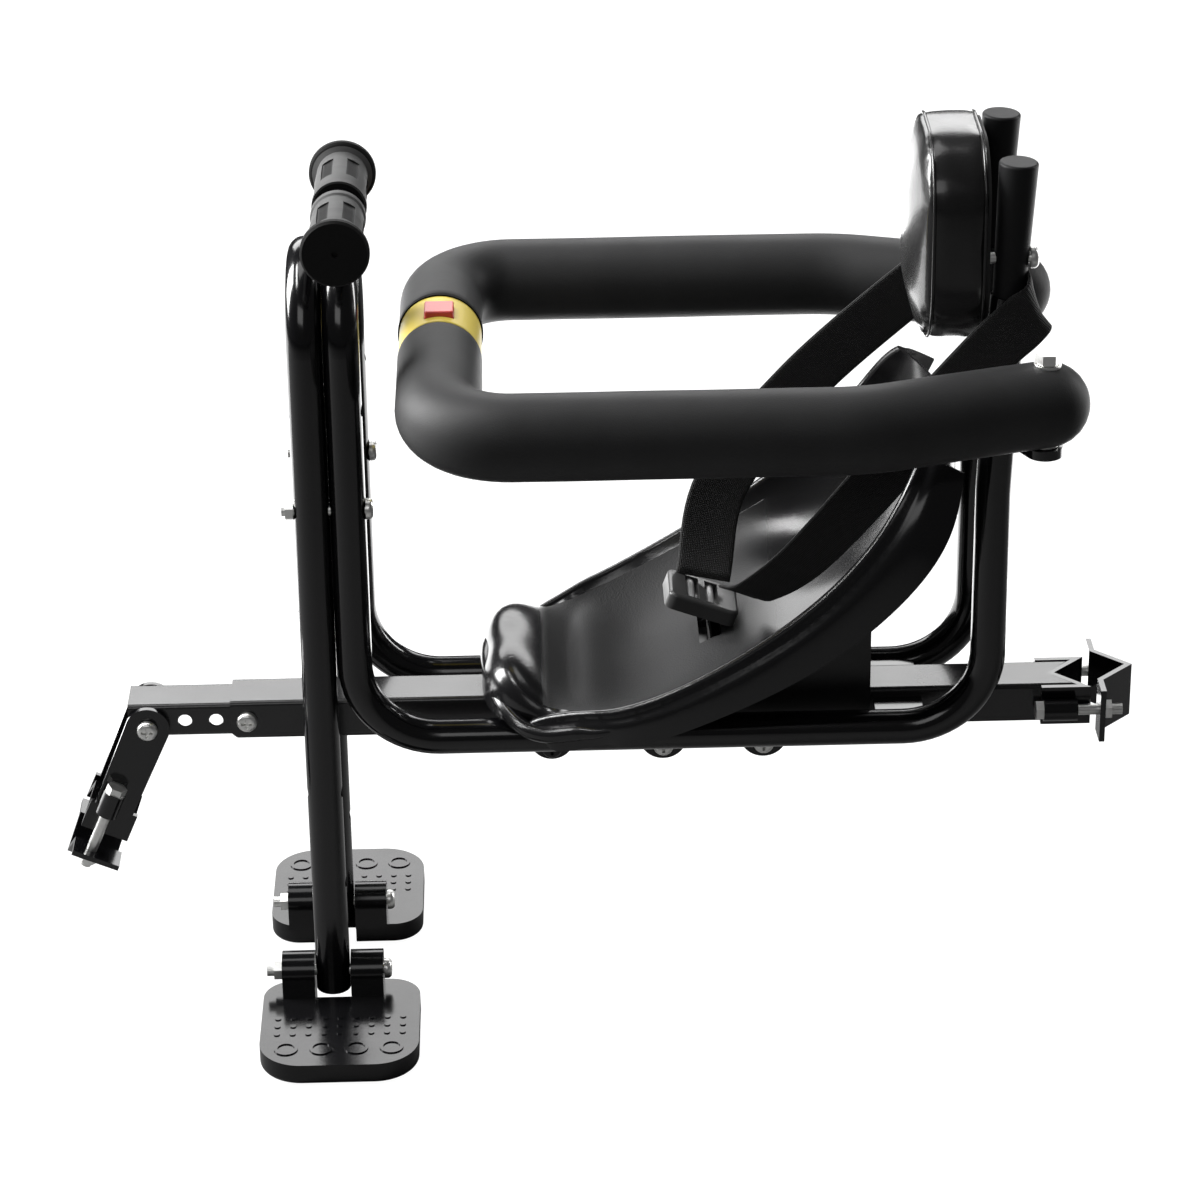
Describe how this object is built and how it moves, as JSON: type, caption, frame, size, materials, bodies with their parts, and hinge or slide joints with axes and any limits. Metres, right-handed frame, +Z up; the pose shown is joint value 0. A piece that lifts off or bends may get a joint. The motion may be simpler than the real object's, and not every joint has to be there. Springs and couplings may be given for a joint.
{
  "type": "child bicycle seat",
  "caption": "Child's bicycle seat with a moulded bucket, padded guard ring that opens at a latch, head pad, handle and folding foot pegs, clamped between seat post and top tube.",
  "frame": {"origin": "middle of the seat post clamp, on the beam's centre line", "axes": "+X to the rear along the beam, +Y to the child's right, +Z up"},
  "size_m": [0.5911, 0.263, 0.5023],
  "materials": {
    "frame_paint": "gloss black powder coat",
    "zinc": "bright zinc plate",
    "dark_steel": "black coated steel",
    "shell_plastic": "gloss moulded black plastic",
    "foam": "matt dark foam",
    "grip_rubber": "satin dark grey rubber",
    "black_plastic": "satin black plastic",
    "yellow_plastic": "gloss yellow plastic",
    "red_plastic": "gloss red plastic",
    "pad_cover": "glossy black coated fabric",
    "board": "matt black board",
    "webbing": "black woven webbing",
    "buckle_bar": "grey plastic"
  },
  "bodies": {
    "seat_frame": {"beam_outer": "frame_paint", "beam_inner": "frame_paint", "beam_lock_screw": "zinc", "frame_ties": "frame_paint", "frame_tube_left": "frame_paint", "frame_tube_right": "frame_paint", "foot_frame": "frame_paint", "column_bolts": "zinc", "peg_bolts": "zinc", "handle_bar": "frame_paint", "handle_grip_left": "grip_rubber", "handle_grip_right": "grip_rubber", "backrest_post_left": "black_plastic", "backrest_post_right": "black_plastic", "pad_board": "board", "head_pad": "pad_cover", "pad_screws": "zinc", "hinge_bracket_left": "frame_paint", "hinge_bracket_right": "frame_paint", "hinge_bolts": "zinc", "seat_shell": "shell_plastic", "seat_bracket": "dark_steel", "seat_bracket_screws": "zinc", "nose_bracket": "dark_steel", "nose_bracket_screw": "dark_steel", "clamp_plate": "frame_paint", "clamp_jaw": "frame_paint", "clamp_bolts": "zinc", "leg_pivot": "zinc", "shoulder_strap_left": "webbing", "shoulder_strap_right": "webbing", "crotch_strap": "webbing", "buckle": "black_plastic", "buckle_bars": "buckle_bar"},
    "guard_left": {"guard_core_left": "zinc", "guard_foam_left": "foam", "latch_tongue": "zinc"},
    "guard_right": {"guard_core_right": "zinc", "guard_foam_right": "foam", "latch_sleeve": "yellow_plastic", "latch_band": "black_plastic"},
    "latch_button": {"latch_button": "red_plastic"},
    "peg_left": {"foot_peg_left": "black_plastic"},
    "peg_right": {"foot_peg_right": "black_plastic"},
    "front_leg": {"leg_bracket": "frame_paint", "leg_jaw": "frame_paint", "leg_bolts": "zinc"}
  },
  "joints": [
    {"name": "guard_left_swing", "type": "hinge", "parent": "seat_frame", "child": "guard_left", "pos_m": [-0.041, -0.08, 0.206], "axis": [0, 0, 1], "range_deg": [0, 75]},
    {"name": "guard_right_swing", "type": "hinge", "parent": "seat_frame", "child": "guard_right", "pos_m": [-0.041, 0.08, 0.206], "axis": [0, 0, -1], "range_deg": [0, 75]},
    {"name": "latch_button_press", "type": "slide", "parent": "guard_right", "child": "latch_button", "axis": [0, 0, -1], "range_m": [0, 0.0025], "stiffness_N_per_m": 800, "springref_m": -0.001},
    {"name": "peg_left_fold", "type": "hinge", "parent": "seat_frame", "child": "peg_left", "pos_m": [-0.4202, -0.038, -0.145], "axis": [-1, 0, 0], "range_deg": [0, 90]},
    {"name": "peg_right_fold", "type": "hinge", "parent": "seat_frame", "child": "peg_right", "pos_m": [-0.4202, 0.038, -0.145], "axis": [1, 0, 0], "range_deg": [0, 90]},
    {"name": "leg_tilt", "type": "hinge", "parent": "seat_frame", "child": "front_leg", "pos_m": [-0.5164, 0, -0.003], "axis": [0, 1, 0], "range_deg": [-45, 45]}
  ]
}
